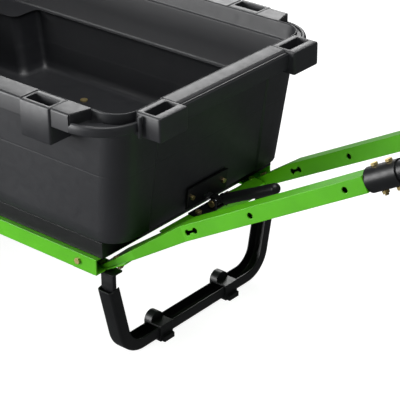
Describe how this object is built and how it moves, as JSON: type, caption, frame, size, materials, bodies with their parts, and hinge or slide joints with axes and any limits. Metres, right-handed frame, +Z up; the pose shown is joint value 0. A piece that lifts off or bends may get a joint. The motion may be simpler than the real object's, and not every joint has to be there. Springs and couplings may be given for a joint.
{
  "type": "tow behind cart",
  "caption": "Garden dump cart for towing: moulded tub that tilts on a steel chassis, disc wheels, twin drawbars with a draw loop and pin hitch, stand leg.",
  "frame": {"origin": "on the ground under the middle of the whole length, between the wheels", "axes": "+X forward towards the hitch, +Y left, +Z up"},
  "size_m": [2.0489, 0.708, 0.6652],
  "materials": {
    "green_powder_coat": "glossy lime green powder coat over pressed steel",
    "black_powder_coat": "satin black powder coat over steel",
    "black_poly": "rotation-moulded black polyethylene, fine grain",
    "tyre_rubber": "matt black tyre rubber",
    "valve_rubber": "smooth black rubber",
    "rim_paint": "light grey enamel on pressed steel",
    "cap_plastic": "glossy black plastic",
    "bush_nylon": "natural nylon",
    "bright_steel": "bright zinc-plated steel",
    "yellow_zinc": "yellow passivated zinc plate"
  },
  "bodies": {
    "chassis": {"rail_left": "green_powder_coat", "rail_right": "green_powder_coat", "front_crossmember": "green_powder_coat", "rear_crossmember": "green_powder_coat", "corner_plate_left": "green_powder_coat", "corner_plate_right": "green_powder_coat", "drawbar_left": "green_powder_coat", "drawbar_right": "green_powder_coat", "socket_left": "black_powder_coat", "socket_right": "black_powder_coat", "draw_loop": "black_powder_coat", "hitch_bracket": "black_powder_coat", "latch_strap": "green_powder_coat", "latch_bracket": "black_powder_coat", "latch_pivot_pin": "yellow_zinc", "latch_spring": "bright_steel", "axle_arm_left": "green_powder_coat", "axle_arm_right": "green_powder_coat", "axle": "bright_steel", "axle_spacers": "bright_steel", "axle_washers": "yellow_zinc", "cotter_pins": "yellow_zinc", "stand_leg": "black_powder_coat", "stand_foot_left": "black_powder_coat", "stand_foot_right": "black_powder_coat", "rail_bolts": "yellow_zinc", "rail_nuts": "yellow_zinc", "corner_bolts": "yellow_zinc", "corner_nuts": "yellow_zinc", "loop_bolts": "yellow_zinc", "loop_nuts": "yellow_zinc", "bracket_bolts": "yellow_zinc"},
    "tilting_tub": {"tub": "black_poly", "tub_frame": "black_powder_coat", "pivot_ear_left": "black_powder_coat", "pivot_ear_right": "black_powder_coat", "latch_plate": "black_powder_coat", "latch_keeper": "bright_steel", "tub_bolts": "yellow_zinc", "tub_nuts": "yellow_zinc", "plate_bolts": "yellow_zinc"},
    "left_wheel": {"tyre_left": "tyre_rubber", "wheel_rim_left": "rim_paint", "hub_left": "bright_steel", "hub_bushes_left": "bush_nylon", "valve_left": "valve_rubber", "hub_cap_left": "cap_plastic"},
    "right_wheel": {"tyre_right": "tyre_rubber", "wheel_rim_right": "rim_paint", "hub_right": "bright_steel", "hub_bushes_right": "bush_nylon", "valve_right": "valve_rubber", "hub_cap_right": "cap_plastic"},
    "latch": {"latch_lever": "black_powder_coat"},
    "pin": {"hitch_pin": "bright_steel"}
  },
  "joints": [
    {"name": "tub_tilt", "type": "hinge", "parent": "chassis", "child": "tilting_tub", "pos_m": [-0.82149, 0, 0.203], "axis": [0, -1, 0], "range_deg": [0, 65]},
    {"name": "left_wheel_spin", "type": "hinge", "parent": "chassis", "child": "left_wheel", "pos_m": [-0.82149, 0.282, 0.203], "axis": [0, 1, 0], "continuous": true},
    {"name": "right_wheel_spin", "type": "hinge", "parent": "chassis", "child": "right_wheel", "pos_m": [-0.82149, -0.282, 0.203], "axis": [0, 1, 0], "continuous": true},
    {"name": "latch_release", "type": "hinge", "parent": "chassis", "child": "latch", "pos_m": [0.19051, 0, 0.312], "axis": [0, 1, 0], "range_deg": [0, 20], "stiffness_Nm_per_rad": 3, "springref_deg": -28.65},
    {"name": "hitch_pin_pull", "type": "slide", "parent": "chassis", "child": "pin", "axis": [0, 0, 1], "range_m": [0, 0.085]}
  ]
}
